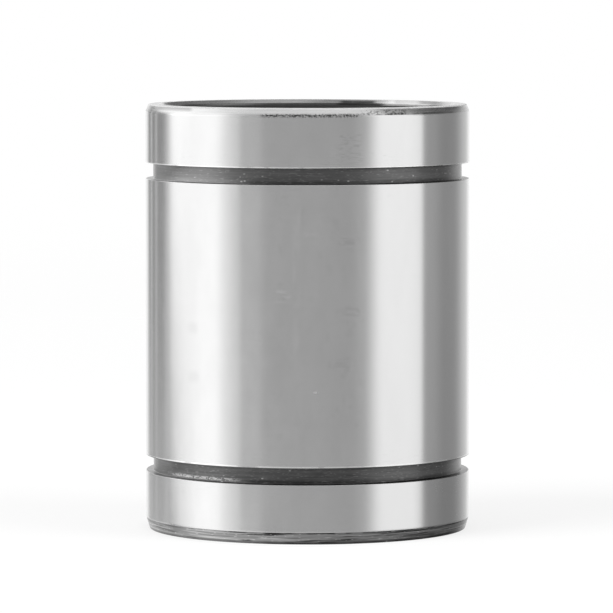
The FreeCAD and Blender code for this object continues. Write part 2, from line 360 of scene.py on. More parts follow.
@dataclass(frozen=True)
class Mark:
    """Lighter or darker marks between two heights, all round or on a span of the front or the back.

    Heights, span and blurs are in millimetres, and grains in metres.
    """

    strength: float
    low: float
    high: float
    blur: float = 0.12
    span: Optional[tuple[float, float]] = None
    span_blur: float = 1.0
    grains: Numbers = grain(0.5, 0.12)
    share: float = 1.0
    softness: float = 0.2
    behind: bool = False

    def mask(self, board: ShaderBoard, place: Signal) -> Signal:
        """How strongly the marks show at a place.

        Args:
            board: The board of the finish.
            place: The place on the piece.

        Returns:
            The strength there, below 0 for darker marks.
        """
        axes = board.node("ShaderNodeSeparateXYZ", {}, {0: board.stretched(place, grain(1.0, 1.0))})
        shown = axes.output("Z").window(self.low, self.high, self.blur, self.blur) * self.strength
        if self.span:
            across = axes.window(*self.span, self.span_blur, self.span_blur)
            back = axes.output("Y").rise(0.0, SIDE_BLUR)
            shown = shown * across * (back if self.behind else 1.0 - back)
        if self.share < 1.0:
            shown = shown * board.noise(place, self.grains).rise(1.0 - self.share, self.softness)
        return shown


@dataclass(frozen=True)
class Finish:
    """Surface finish of a piece: its colour, its gloss and the nodes that vary them."""

    name: str
    colour: Colour
    roughness: float

    def material(self) -> bpy.types.Material:
        """Make the material of this finish, or find it if it is made.

        Returns:
            The material.
        """
        made = bpy.data.materials.get(self.name)
        if made is None:
            made, board = new_material(self.name)
            self.paint(board)
        return made

    def paint(self, board: ShaderBoard) -> None:
        """Put the finish's nodes on a board."""
        raise NotImplementedError


@dataclass(frozen=True)
class GroundSteel(Finish):
    """Ground bearing steel: fine lines round the axis, faint clouds and marks at the edges."""

    marks: tuple[Mark, ...] = ()
    stretch: float = 0.88
    line_grain: Numbers = grain(9.0, 0.05)
    cloud_grain: Numbers = grain(1.8, 4.2)
    line_depth: float = 0.0003 * MM
    line_tone: float = 0.03
    cloud_tone: float = 0.09
    line_dulling: float = 0.04
    cloud_dulling: float = 0.03
    mark_dulling: float = 0.2
    darkest: float = 0.02

    def paint(self, board: ShaderBoard) -> None:
        """Put the ground steel's nodes on a board.

        Args:
            board: The board of the finish's material.
        """
        place = board.place()
        lines = board.noise(place, self.line_grain, detail=2.0)
        clouds = board.noise(place, self.cloud_grain, detail=3.0)
        tone = board.varied(1.0, [(self.line_tone, lines), (self.cloud_tone, clouds)])
        roughness = board.varied(self.roughness, [(self.line_dulling, lines), (self.cloud_dulling, clouds)])
        for mark in self.marks:
            shown = mark.mask(board, place)
            tone = tone + shown
            roughness = roughness + self.mark_dulling * shown.math("ABSOLUTE")
        board.show_principled({
            "Base Color": board.tinted(self.colour, tone.math("MAXIMUM", self.darkest)),
            "Metallic": 1.0,
            "Roughness": roughness,
            "Anisotropic": self.stretch,
            "Anisotropic Rotation": UPRIGHT,
            "Normal": board.relief(lines, self.line_depth),
        })


@dataclass(frozen=True)
class TurnedSteel(Finish):
    """Turned steel: tool lines round the axis, blotches of scale, small bright glints and marks."""

    marks: tuple[Mark, ...] = ()
    line_grain: Numbers = grain(7.0, 0.16)
    fine_grain: Numbers = grain(2.5, 0.07)
    blotch_grain: Numbers = grain(1.6, 0.5)
    glint_spacing: Numbers = grain(0.9, 0.45)
    glint_radius: float = 0.12
    glint_strength: float = 0.6
    glint_colour: Colour = grey(0.85)
    glint_polish: float = 0.12
    glint_height: float = 0.8
    glint_start: float = 0.55
    glint_fade: float = 0.2
    contrast: float = 0.8
    fine_share: float = 0.8
    blotch_share: float = 0.6
    fine_height: float = 0.5
    fine_dulling: float = 0.2
    blotch_dulling: float = 0.15
    darkest: float = 0.05
    oil_roughness: float = 0.2
    stretch: float = 0.2
    metal: float = 1.0
    oil: float = 0.0
    line_depth: float = 0.003 * MM

    def paint(self, board: ShaderBoard) -> None:
        """Put the turned steel's nodes on a board.

        Args:
            board: The board of the finish's material.
        """
        place = board.place()
        lines = board.noise(place, self.line_grain, detail=3.0)
        fine = board.noise(place, self.fine_grain, detail=2.0)
        blotches = board.noise(place, self.blotch_grain, detail=2.0)
        glints = board.dots(place, self.glint_spacing, self.glint_radius) * self.glint_strength
        glints = glints * blotches.rise(self.glint_start, self.glint_fade)

        shares = [(1.0, lines), (self.fine_share, fine), (self.blotch_share, blotches)]
        tone = board.varied(1.0, [(self.contrast * share, noise) for share, noise in shares])
        for mark in self.marks:
            tone = tone + mark.mask(board, place)
        dulling = [(self.fine_dulling, fine), (self.blotch_dulling, blotches)]
        roughness = board.varied(self.roughness, dulling) - self.glint_polish * glints
        colour = board.tinted(self.colour, tone.math("MAXIMUM", self.darkest))
        height = lines + self.fine_height * fine + self.glint_height * glints
        board.show_principled({
            "Base Color": board.blended(glints, colour, self.glint_colour),
            "Metallic": self.metal,
            "Roughness": roughness,
            "Anisotropic": self.stretch,
            "Anisotropic Rotation": UPRIGHT,
            "Coat Weight": self.oil,
            "Coat Roughness": self.oil_roughness,
            "Normal": board.relief(height, self.line_depth),
        })


@dataclass(frozen=True)
class BallSteel(Finish):
    """Lapped ball steel: a mirror with the faintest clouds."""

    cloud_grain: Numbers = grain(0.5, 0.5)
    cloud_tone: float = 0.08
    cloud_dulling: float = 0.06

    def paint(self, board: ShaderBoard) -> None:
        """Put the ball steel's nodes on a board.

        Args:
            board: The board of the finish's material.
        """
        clouds = board.noise(board.place(), self.cloud_grain, detail=2.0)
        board.show_principled({
            "Base Color": board.tinted(self.colour, board.varied(1.0, [(self.cloud_tone, clouds)])),
            "Metallic": 1.0,
            "Roughness": board.varied(self.roughness, [(self.cloud_dulling, clouds)]),
        })


@dataclass(frozen=True)
class SpringSteel(Finish):
    """Blanked spring steel: dark phosphate with rolling lines across the flat."""

    line_grain: Numbers = (4.0 * MM, 0.12 * MM, 0.6 * MM)
    blotch_grain: Numbers = grain(0.7, 0.7)
    line_depth: float = 0.003 * MM
    line_tone: float = 0.5
    blotch_tone: float = 0.6
    blotch_dulling: float = 0.25

    def paint(self, board: ShaderBoard) -> None:
        """Put the spring steel's nodes on a board.

        Args:
            board: The board of the finish's material.
        """
        place = board.place()
        lines = board.noise(place, self.line_grain, detail=2.0)
        blotches = board.noise(place, self.blotch_grain, detail=3.0)
        tone = board.varied(1.0, [(self.line_tone, lines), (self.blotch_tone, blotches)])
        board.show_principled({
            "Base Color": board.tinted(self.colour, tone),
            "Metallic": 1.0,
            "Roughness": board.varied(self.roughness, [(self.blotch_dulling, blotches)]),
            "Normal": board.relief(lines + blotches, self.line_depth),
        })


@dataclass(frozen=True)
class SealRubber(Finish):
    """Moulded black rubber: a fine grain, the rings of its mould, slight bloom and a rubbed lip."""

    lip_radius: float
    lip_wear: float = 0.3 * MM
    skin_grain: Numbers = grain(0.09, 0.09)
    bloom_grain: Numbers = grain(2.2, 2.2)
    ring_width: float = 0.22 * MM
    skin_depth: float = 0.006 * MM
    skin_tone: float = 0.4
    bloom_tone: float = 0.9
    ring_tone: float = 0.9
    rubbed_tone: float = 1.2
    skin_dulling: float = 0.1
    bloom_dulling: float = 0.25
    specular: float = 0.05

    def paint(self, board: ShaderBoard) -> None:
        """Put the rubber's nodes on a board.

        Args:
            board: The board of the finish's material.
        """
        place = board.place()
        skin = board.noise(place, self.skin_grain, detail=2.0)
        bloom = board.noise(place, self.bloom_grain, detail=3.0)
        axes = board.node("ShaderNodeSeparateXYZ", {}, {0: place})
        radius = (axes * axes + axes.output("Y") * axes.output("Y")).math("SQRT")
        along = {"W": radius / self.ring_width, "Scale": 1.0}
        rings = board.node("ShaderNodeTexNoise", {"noise_dimensions": "1D"}, along, "Fac")
        rubbed = 1.0 - radius.rise(self.lip_radius + self.lip_wear, self.lip_wear)
        tones = [(self.bloom_tone, bloom), (self.skin_tone, skin), (self.ring_tone, rings)]
        dulling = [(self.bloom_dulling, bloom), (self.skin_dulling, skin)]
        board.show_principled({
            "Base Color": board.tinted(self.colour, board.varied(1.0, tones) + self.rubbed_tone * rubbed),
            "Roughness": board.varied(self.roughness, dulling),
            "Specular IOR Level": self.specular,
            "Normal": board.relief(skin + rings, self.skin_depth),
        })


@dataclass(frozen=True)
class RetainerPlastic(Finish):
    """Moulded off-white plastic: faint flow marks and a satin skin."""

    flow_grain: Numbers = grain(3.0, 1.2)
    skin_grain: Numbers = grain(0.12, 0.12)
    skin_depth: float = 0.003 * MM
    flow_tone: float = 0.14
    flow_dulling: float = 0.2
    skin_dulling: float = 0.08

    def paint(self, board: ShaderBoard) -> None:
        """Put the plastic's nodes on a board.

        Args:
            board: The board of the finish's material.
        """
        place = board.place()
        flow = board.noise(place, self.flow_grain, detail=3.0)
        skin = board.noise(place, self.skin_grain, detail=2.0)
        dulling = [(self.flow_dulling, flow), (self.skin_dulling, skin)]
        board.show_principled({
            "Base Color": board.tinted(self.colour, board.varied(1.0, [(self.flow_tone, flow)])),
            "Roughness": board.varied(self.roughness, dulling),
            "Normal": board.relief(skin, self.skin_depth),
        })


# Modelling moves

@dataclass(frozen=True)
class Corner:
    """Corner of a turned section: its radius and height, and how far its edge is rounded."""

    radius: float
    height: float
    rounding: float = 0.0

    @property
    def place(self) -> Vector:
        """Place of the corner in the plane that is spun."""
        return Vector((self.radius, 0.0, self.height))


def corners_inside(end: End, length: float, shape: Sequence[Numbers]) -> list[Corner]:
    """Corners of a section near one end of the bearing.

    Args:
        end: The end.
        length: The bearing's length.
        shape: Radius, depth inside that end and rounding of each corner.

    Returns:
        The corners in order.
    """
    return [Corner(radius, end.height(length, depth), rounding) for radius, depth, rounding in shape]


def take_up(piece: bpy.types.Object) -> None:
    """Select one object alone and make it active.

    Args:
        piece: The object.
    """
    bpy.ops.object.select_all(action="DESELECT")
    piece.select_set(True)
    bpy.context.view_layer.objects.active = piece


@contextmanager
def in_edit_mode(piece: bpy.types.Object) -> Iterator[None]:
    """Hold one piece in edit mode, with all of it selected at first.

    Args:
        piece: The mesh object to edit.

    Returns:
        A context that ends in object mode.
    """
    take_up(piece)
    bpy.ops.object.mode_set(mode="EDIT")
    bpy.ops.mesh.select_mode(type="VERT")
    bpy.ops.mesh.select_all(action="SELECT")
    yield
    bpy.ops.object.mode_set(mode="OBJECT")


def pick(piece: bpy.types.Object, wanted: Callable[[bmesh.types.BMVert], bool]) -> None:
    """Select only the wanted vertices of a piece in edit mode.

    Args:
        piece: The piece that is in edit mode.
        wanted: Says whether a vertex is wanted.
    """
    mesh = bmesh.from_edit_mesh(piece.data)
    for vertex in mesh.verts:
        vertex.select_set(wanted(vertex))
    mesh.select_flush_mode()
    bmesh.update_edit_mesh(piece.data)


def new_piece(name: str) -> bpy.types.Object:
    """Name the object that was just made.

    Args:
        name: The name of the object and its mesh.

    Returns:
        The object.
    """
    piece = bpy.context.object
    piece.name = name
    piece.data.name = name
    return piece


def drawn_section(name: str, corners: Sequence[Corner], segments: int) -> bpy.types.Object:
    """Draw a closed section as one outline, corner by corner, and round its corners.

    Args:
        name: Name of the new piece.
        corners: The corners in order.
        segments: Segments of a rounded corner.

    Returns:
        The piece, which is still only an outline.
    """
    bpy.ops.mesh.primitive_plane_add(size=MM)
    piece = new_piece(name)
    with in_edit_mode(piece):
        bpy.ops.mesh.merge(type="CENTER")
        bpy.ops.transform.translate(value=corners[0].place)
        for here, there in zip(corners, corners[1:]):
            step = there.place - here.place
            bpy.ops.mesh.extrude_vertices_move(TRANSFORM_OT_translate={"value": step})
        pick(piece, lambda vertex: len(vertex.link_edges) == 1)
        bpy.ops.mesh.edge_face_add()
        for rounding in sorted({corner.rounding for corner in corners} - {0.0}):
            round_corners(piece, [corner for corner in corners if corner.rounding == rounding], segments)
    return piece


def round_corners(piece: bpy.types.Object, corners: Sequence[Corner], segments: int) -> None:
    """Round some corners of an outline in edit mode, all of them alike.

    Args:
        piece: The outline that is in edit mode.
        corners: The corners to round, with one rounding.
        segments: Segments of a rounded corner.
    """
    places = [corner.place for corner in corners]
    pick(piece, lambda vertex: any((vertex.co - place).length < MERGE_DISTANCE for place in places))
    bpy.ops.mesh.bevel(
        offset=corners[0].rounding, offset_type="OFFSET", segments=segments, affect="VERTICES")


def close_up() -> None:
    """Merge the seams of the piece in edit mode and turn its faces outwards."""
    bpy.ops.mesh.select_all(action="SELECT")
    bpy.ops.mesh.remove_doubles(threshold=MERGE_DISTANCE)
    bpy.ops.mesh.normals_make_consistent(inside=False)


def turned(name: str, corners: Sequence[Corner], steps: int) -> bpy.types.Object:
    """Spin a section once round the bearing's axis.

    Args:
        name: Name of the new piece.
        corners: The corners of the section in order.
        steps: Steps of the full turn.

    Returns:
        The turned piece.
    """
    piece = drawn_section(name, corners, EDGE_SEGMENTS)
    with in_edit_mode(piece):
        bpy.ops.mesh.spin(steps=steps, angle=2 * math.pi, center=(0, 0, 0), axis=(0, 0, 1))
        close_up()
    return piece


def apply_modifier(piece: bpy.types.Object, kind: str, **settings: Any) -> None:
    """Give a piece a modifier and apply it.

    Args:
        piece: The piece to change.
        kind: The modifier's type.
        settings: The modifier's settings.
    """
    take_up(piece)
    modifier = piece.modifiers.new(kind.lower(), kind)
    for name, setting in settings.items():
        setattr(modifier, name, setting)
    bpy.ops.object.modifier_apply(modifier=modifier.name)


def combine(piece: bpy.types.Object, tool: bpy.types.Object, joining: Joining) -> None:
    """Cut a tool out of a piece or add it, and put the tool away.

    Args:
        piece: The piece to change.
        tool: The closed mesh that cuts or is added.
        joining: Whether the tool cuts or is added.
    """
    apply_modifier(piece, "BOOLEAN", operation=joining.value, object=tool, solver="EXACT", use_self=True)
    bpy.data.meshes.remove(tool.data)


def apply_place(piece: bpy.types.Object) -> None:
    """Put a piece's place and turn into its mesh."""
    take_up(piece)
    bpy.ops.object.transform_apply(location=True, rotation=True, scale=True)


def copied(piece: bpy.types.Object, angle: float = 0.0, place: Numbers = (0, 0, 0)) -> bpy.types.Object:
    """Copy of a piece with its own mesh, turned round the axis and moved.

    Args:
        piece: The piece to copy.
        angle: Turn round the bearing's axis, in radians.
        place: How far the copy is moved, in metres.

    Returns:
        The copy, with its place in its mesh.
    """
    take_up(piece)
    bpy.ops.object.duplicate(linked=False)
    copy = bpy.context.object
    copy.rotation_euler.z = angle
    copy.location = place
    apply_place(copy)
    return copy


def joined(name: str, pieces: Sequence[bpy.types.Object]) -> bpy.types.Object:
    """Join pieces into one object.

    Args:
        name: Name of the joined object.
        pieces: The pieces, which are used up.

    Returns:
        The joined object.
    """
    take_up(pieces[0])
    for piece in pieces:
        piece.select_set(True)
    if len(pieces) > 1:
        bpy.ops.object.join()
    return new_piece(name)


def once_per_circuit(piece: bpy.types.Object) -> bpy.types.Object:
    """Repeat a piece round the axis, once for each ball circuit.

    Args:
        piece: The piece of the first circuit, which is used up.

    Returns:
        All copies as one object.
    """
    copies = [copied(piece, 2 * math.pi * number / CIRCUITS) for number in range(1, CIRCUITS)]
    return joined(piece.name, [piece, *copies])


def smooth(piece: bpy.types.Object, even: bool = True) -> None:
    """Shade a piece smoothly up to its edges.

    Args:
        piece: The piece to shade.
        even: Whether large faces keep their own normals right up to a rounded edge.
    """
    take_up(piece)
    bpy.ops.object.shade_smooth_by_angle(angle=SMOOTH_ANGLE)
    if even:
        apply_modifier(
            piece, "WEIGHTED_NORMAL", mode="FACE_AREA", weight=LARGE_FACE_WEIGHT, keep_sharp=True)


def present(piece: bpy.types.Object, body: str, node: str) -> None:
    """Let a finished piece stand for a solid of the frame.

    Args:
        piece: The finished piece.
        body: The body that it moves with.
        node: The solid that it stands for.
    """
    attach(piece, body)
    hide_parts(node)
    log.info("%s stands for %s on %s, %d faces", piece.name, node, body, len(piece.data.polygons))


def mount(name: str) -> Mapping[str, Any]:
    """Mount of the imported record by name."""
    return next(item for item in frame["record"]["mounts"] if item["name"] == name)


# Sub-assemblies

@dataclass
class FlatSidedBlock:
    """Upright block between a cylinder and three flat sides: the form of a relief and of its rib."""

    radius: float
    inner_radius: float
    near: float
    far: float
    low: float
    high: float

    def build(self, name: str) -> bpy.types.Object:
        """Cut the block out of a cylinder.

        Args:
            name: Name of the new object.

        Returns:
            The block, in the place of the first circuit.
        """
        middle = (self.low + self.high) / 2
        bpy.ops.mesh.primitive_cylinder_add(
            vertices=INNER_STEPS, radius=self.radius, depth=self.high - self.low, location=(0, 0, middle))
        block = new_piece(name)
        apply_place(block)
        near_corner, far_corner = [
            Vector((math.sqrt(self.inner_radius ** 2 - side ** 2), side, 0.0))
            for side in (self.near, self.far)
        ]
        along = (far_corner - near_corner).normalized()
        sides = [
            (near_corner, (0, -1, 0)),
            (far_corner, (0, 1, 0)),
            (near_corner, (-along.y, along.x, 0)),
        ]
        with in_edit_mode(block):
            for point, outwards in sides:
                bpy.ops.mesh.select_all(action="SELECT")
                bpy.ops.mesh.bisect(
                    plane_co=point, plane_no=outwards, clear_outer=True, use_fill=True,
                    threshold=MERGE_DISTANCE)
            close_up()
        return block


@dataclass
class SteelSleeve:
    """Hardened outer cylinder: ground lands, ring grooves, lead-ins, end seats, raceway and reliefs."""

    radius: float
    length: float
    groove_radius: float
    groove_width: float
    groove_heights: tuple[float, float]
    lower_lead_length: float
    upper_lead_length: float
    seat_radius: float
    snap_radius: float
    snap_depth: float
    seat_depth: float
    lower_lead_depth: float = 0.35 * MM
    upper_lead_depth: float = 0.3 * MM
    mouth_chamfer: float = 0.35 * MM
    raceway_radius: float = 12.85 * MM
    relief_step: float = 0.05 * MM
    relief_sides: tuple[float, float] = (0.75 * MM, 8.575 * MM)
    relief_inner_radius: float = 11.5 * MM
    land_edge: float = 0.045 * MM
    rim_edge: float = 0.12 * MM
    mouth_edge: float = 0.035 * MM
    upper_blend: float = 0.2 * MM
    lower_blend: float = 0.15 * MM
    foot_edge: float = 0.05 * MM
    groove_fillet: float = 0.12 * MM
    inner_edge: float = 0.08 * MM

    @classmethod
    def from_frame(cls) -> "SteelSleeve":
        """Take the sleeve's sizes from the frame.

        Returns:
            The sleeve.
        """
        low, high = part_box("outer_cylinder")
        land = mount("outer_diameter")
        upper = mount("upper_ring_groove")
        lower = mount("lower_ring_groove")
        half_land = land["dims"]["length_mm"] * MM / 2
        clearance = 0.05 * MM
        return cls(
            radius=high.x,
            length=high.z - low.z,
            groove_radius=upper["dims"]["r_mm"] * MM,
            groove_width=upper["dims"]["length_mm"] * MM,
            groove_heights=(lower["pos_m"][2], upper["pos_m"][2]),
            lower_lead_length=land["pos_m"][2] - half_land,
            upper_lead_length=high.z - land["pos_m"][2] - half_land,
            seat_radius=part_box("upper_seal")[1].x,
            snap_radius=-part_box("upper_snap_ring")[0].x,
            snap_depth=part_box("lower_snap_ring")[0].z - clearance,
            seat_depth=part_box("ball_retainer")[0].z + clearance,
        )

    def outside(self) -> list[Corner]:
        """Corners of the outside, from the lower end face to the upper.

        Returns:
            The corners in order.
        """
        half = self.groove_width / 2
        corners = [
            Corner(self.radius - self.lower_lead_depth, 0.0, self.foot_edge),
            Corner(self.radius, self.lower_lead_length, self.lower_blend),
        ]
        for middle in self.groove_heights:
            corners += [
                Corner(self.radius, middle - half, self.land_edge),
                Corner(self.groove_radius, middle - half, self.groove_fillet),
                Corner(self.groove_radius, middle + half, self.groove_fillet),
                Corner(self.radius, middle + half, self.land_edge),
            ]
        corners += [
            Corner(self.radius, self.length - self.upper_lead_length, self.upper_blend),
            Corner(self.radius - self.upper_lead_depth, self.length, self.rim_edge),
        ]
        return corners

    def inside(self, end: End) -> list[Corner]:
        """Corners of one end's mouth and seat, from its end face inwards.

        Args:
            end: The end of the bearing.

        Returns:
            The corners in order.
        """
        shape = [
            (self.seat_radius + self.mouth_chamfer, 0.0, self.mouth_edge),
            (self.seat_radius, self.mouth_chamfer, self.mouth_edge),
            (self.seat_radius, self.snap_depth, self.mouth_edge),
            (self.snap_radius, self.snap_depth, 0.0),
            (self.snap_radius, self.seat_depth, 0.0),
            (self.raceway_radius, self.seat_depth, self.inner_edge),
        ]
        return corners_inside(end, self.length, shape)

    def build(self) -> bpy.types.Object:
        """Turn the sleeve and cut the reliefs out of its raceway.

        Returns:
            The bare sleeve.
        """
        corners = self.outside() + self.inside(End.UPPER) + self.inside(End.LOWER)[::-1]
        sleeve = turned("steel_sleeve", corners, FINE_STEPS)
        overrun = (self.seat_depth - self.snap_depth) / 2
        relief = FlatSidedBlock(
            self.seat_radius - self.relief_step, self.relief_inner_radius, *self.relief_sides,
            self.seat_depth - overrun, self.length - self.seat_depth + overrun)
        combine(sleeve, once_per_circuit(relief.build("relief_cutter")), Joining.CUT)
        return sleeve

    def zone(self, place: Vector) -> SleeveZone:
        """Finish at a place on the sleeve.

        Args:
            place: The middle of a face.

        Returns:
            The zone that the face is in.
        """
        radius = place.xy.length
        within = radius < self.groove_radius - self.land_edge - TOUCH
        behind_seal = self.snap_depth < place.z < self.length - self.snap_depth
        if radius < self.seat_radius - TOUCH or (behind_seal and within):
            return SleeveZone.BORED
        if radius < self.seat_radius + TOUCH:
            return SleeveZone.SEATED
        if radius <= self.seat_radius + self.mouth_chamfer:
            return SleeveZone.MOUTH
        rim = self.radius - self.upper_lead_depth
        if radius > rim - self.rim_edge and self.length - self.rim_edge < place.z < self.length - FLAT:
            return SleeveZone.BROKEN_EDGE
        if place.z > self.length - self.upper_lead_length + TOUCH or place.z < TOUCH:
            return SleeveZone.FACED
        if place.z < self.lower_lead_length - TOUCH:
            return SleeveZone.LED_IN
        if radius < self.radius - self.land_edge - TOUCH:
            return SleeveZone.GROOVED
        return SleeveZone.GROUND

    @property
    def side_mm(self) -> float:
        """Radius of the lands, in millimetres."""
        return self.radius / MM

    @property
    def top_mm(self) -> float:
        """Height of the upper end face, in millimetres."""
        return self.length / MM

    @property
    def rim_mm(self) -> float:
        """Height at which the upper lead-in starts, in millimetres."""
        return (self.length - self.upper_lead_length) / MM

    def burr(self) -> tuple[Mark, ...]:
        """Ragged burr that the turning of the upper lead-in left on the front of the land.

        Returns:
            A wavering line and the fine nicks around it.
        """
        rim = self.rim_mm
        front = (-4.4, 5.0)
        return (
            Mark(
                -0.5, rim - 0.07, rim + 0.04, 0.07, front,
                grains=grain(0.8, 0.4), share=0.6, softness=0.25),
            Mark(
                -0.6, rim - 0.2, rim + 0.17, 0.08, front,
                grains=grain(0.15, 0.12), share=0.5, softness=0.12),
        )

    def rim_marks(self) -> tuple[Mark, ...]:
        """Chatter on the right of the upper lead-in, the dark line under it, and a darker stretch on the
        left.

        Returns:
            The marks, in that order.
        """
        rim = self.rim_mm
        return (
            Mark(
                -0.5, rim, rim + 0.5, 0.1, (5.2, 9.6), 0.6,
                grains=grain(0.22, 0.2), share=0.46, softness=0.1),
            Mark(
                -0.55, rim - 1.0, rim + 0.16, 0.08, (7.5, 14.5), 2.0,
                grains=grain(2.0, 1.0), share=0.62),
            Mark(-0.38, rim + 0.3, self.top_mm + 1.0, 0.3, (-14.5, -11.2), 0.6),
        )

    def seat_marks(self) -> tuple[Mark, ...]:
        """Painted reflections at the back of the upper seat: a dark stretch, and a bright one to the right
        of it.

        Returns:
            The marks, in that order.
        """
        top = self.top_mm
        return (
            # Painted reflections: a dark stretch, then a bright one
            Mark(-0.6, top / 2, top, span=(3.0, 7.4), behind=True),
            Mark(1.4, top / 2, top, span=(7.8, 12.4), span_blur=0.8, behind=True),
        )

    def mouth_marks(self) -> tuple[Mark, ...]:
        """Painted reflections on the back of the upper mouth's chamfer: a dark stretch, and bright and
        darker stretches beside it.

        Returns:
            The dark stretch, the bright and the darker stretch on the right, and the bright one on the left.
        """
        top = self.top_mm
        low = top - self.mouth_chamfer / MM - 1.0
        return (
            # Painted reflections, dark and bright, on the back of the mouth
            Mark(-0.75, low, top - 0.13, 0.14, (3.4, 6.8), 0.8, behind=True),
            Mark(0.4, low, top + 1.0, span=(6.9, 8.8), span_blur=0.6, behind=True),
            Mark(-0.4, low, top + 1.0, span=(11.3, 13.2), behind=True),
            Mark(0.5, low, top + 1.0, span=(-self.side_mm, -12.4), behind=True),
        )

    def scuffs(self) -> list[Mark]:
        """Faint scuffs and smudges on the lands, dull patches, the lines beside the grooves, and painted
        shade and highlights at their edges.

        Returns:
            The marks of all lands.
        """
        half = self.groove_width / 2 / MM
        lower, upper = (height / MM for height in self.groove_heights)
        marks = [
            # Scratches on the upper land
            Mark(
                -0.1, upper + 1.4, self.top_mm - 2.4, 0.4, (3.0, 5.2), 0.8,
                grains=grain(0.5, 0.13), share=0.42, softness=0.1),
            # Rubbed middle of the long land
            Mark(
                -0.035, lower + 3.0, upper - 2.0, 2.0, (-3.0, 5.4), 1.6,
                grains=grain(0.8, 1.0), share=0.34, softness=0.14),
            # Dull right ends of the short lands
            Mark(-0.16, -1.0, lower, 0.3, (11.0, self.side_mm), 2.0),
            Mark(-0.08, upper, self.top_mm, 0.3, (11.4, self.side_mm), 1.2),
            # Pale streak down the long land
            Mark(
                0.024, lower + 10.5, upper - 3.0, 2.0, (-1.4, -0.7), 0.4,
                grains=grain(0.6, 1.6), share=0.5),
            # Bright speck
            Mark(0.3, lower + 8.1, lower + 8.25, 0.08, (0.6, 0.9), 0.15),
        ]
        # Small scuffs: strength, and millimetres right of the axis and above the lower groove
        for strength, across, up in (
            (-0.09, 3.8, 22.4),
            (-0.06, 4.3, 16.0),
            (0.05, -2.3, 17.4),
            (-0.05, 3.4, 11.0),
            (0.03, 0.4, 23.2),
        ):
            middle = lower + up
            marks.append(Mark(
                strength, middle - 0.6, middle + 0.6, 0.3, (across - 0.7, across + 0.7), 0.4,
                grains=grain(1.5, 0.16), share=0.5, softness=0.1))
        # Smudges on the left, in the same millimetres
        for across, up in ((-11.1, 14.1), (-11.0, 9.3)):
            middle = lower + up
            marks.append(Mark(-0.05, middle - 0.5, middle + 0.5, 0.7, (across - 0.5, across + 0.5), 0.6))
        for middle in (lower, upper):
            # Faint lines below and above each groove
            for low in (middle - half - 1.6, middle + half):
                marks.append(Mark(
                    -0.06, low, low + 1.6, 0.6, grains=grain(0.9, 0.1), share=0.3, softness=0.08))
            # Painted shade at the corner and a painted highlight line above each groove, a little higher at
            # the lower one
            edge = middle + half + (0.08 if middle == lower else 0.0)
            marks += [
                Mark(-0.8, middle, edge - 0.02, 0.05),
                Mark(0.6, edge, edge + 0.1, 0.08, grains=grain(1.4, 1.0), share=0.6),
            ]
        return marks

    def groove_marks(self) -> tuple[Mark, ...]:
        """Painted shade and highlights in the corners of the ring grooves, painted sheen at their sides,
        streaks, and a painted highlight along the lower corner of the lower one.

        Returns:
            The marks of both grooves.
        """
        half = self.groove_width / 2 / MM
        lower, upper = (height / MM for height in self.groove_heights)
        side = self.side_mm
        marks = []
        # Height of each groove, and the tones of its left part and left corner, a painted sheen and a
        # painted highlight, and of its floor
        for middle, left_sheen, corner, floor in ((lower, 0.15, 0.15, -0.2), (upper, 0.65, 0.5, 0.0)):
            low, high = middle - half, middle + half
            marks += [
                Mark(floor, low - 1.0, high + 1.0),
                # Painted shade in the lower corner, from the middle to the right
                Mark(-0.5, low - 1.0, low + 0.35, 0.5, (-5.5, side), 2.0),
                # Painted highlight on the lower corner at the left
                Mark(corner, low - 1.0, low + 0.45, 0.4, (-side, -6.5), 3.0),
                # Painted shade under the upper wall
                Mark(-0.3, high - 0.2, high + 1.0, 0.3),
                # Painted sheen on the left part, and at the far left and the far right
                Mark(left_sheen, low, high, span=(-side, -8.5), span_blur=4.0),
                Mark(0.75, low, high, span=(-side, -13.5), span_blur=2.0),
                Mark(1.2, low, high, span=(14.0, side), span_blur=1.6),
                Mark(0.7, low, high, 0.3, grains=grain(0.5, 0.07), share=0.34, softness=0.1),
            ]
        # Painted highlight along the lower corner of the lower groove, on the left
        low = lower - half
        marks.append(Mark(
            2.8, low + 0.16, low + 0.42, 0.14, (-13.4, -6.8), 1.5,
            grains=grain(0.22, 0.11), share=0.52, softness=0.14))
        return tuple(marks)

    def lead_marks(self) -> tuple[Mark, ...]:
        """Streaks of the lower lead-in, painted shade at its foot, a painted sheen at its right end, and the
        dark line where it meets the land.

        Returns:
            The painted shade of the foot, the painted sheen at the right end, the dark line and the streaks.
        """
        top = self.lower_lead_length / MM
        side = self.side_mm
        return (
            # Painted shade at the foot
            Mark(-0.55, -1.0, 0.22, 0.25),
            Mark(-0.35, -1.0, 0.25, 0.3, (-4.0, side), 6.0),
            # Painted sheen at the right end
            Mark(0.4, 0.1, top, 0.1, (14.3, side)),
            Mark(-0.6, top - 0.12, top + 1.0, 0.06, (-3.6, 2.6)),
            Mark(-0.6, top - 0.14, top + 1.0, 0.06, (-12.4, side), grains=grain(1.4, 1.0), share=0.5),
            Mark(0.9, 0.3, top, 0.15, grains=grain(7.0, 0.13), share=0.42, softness=0.08),
            Mark(0.9, 0.3, top, 0.2, grains=grain(0.6, 0.13), share=0.32, softness=0.08),
            Mark(-0.8, 0.2, top, 0.2, grains=grain(5.0, 0.14), share=0.42, softness=0.08),
        )

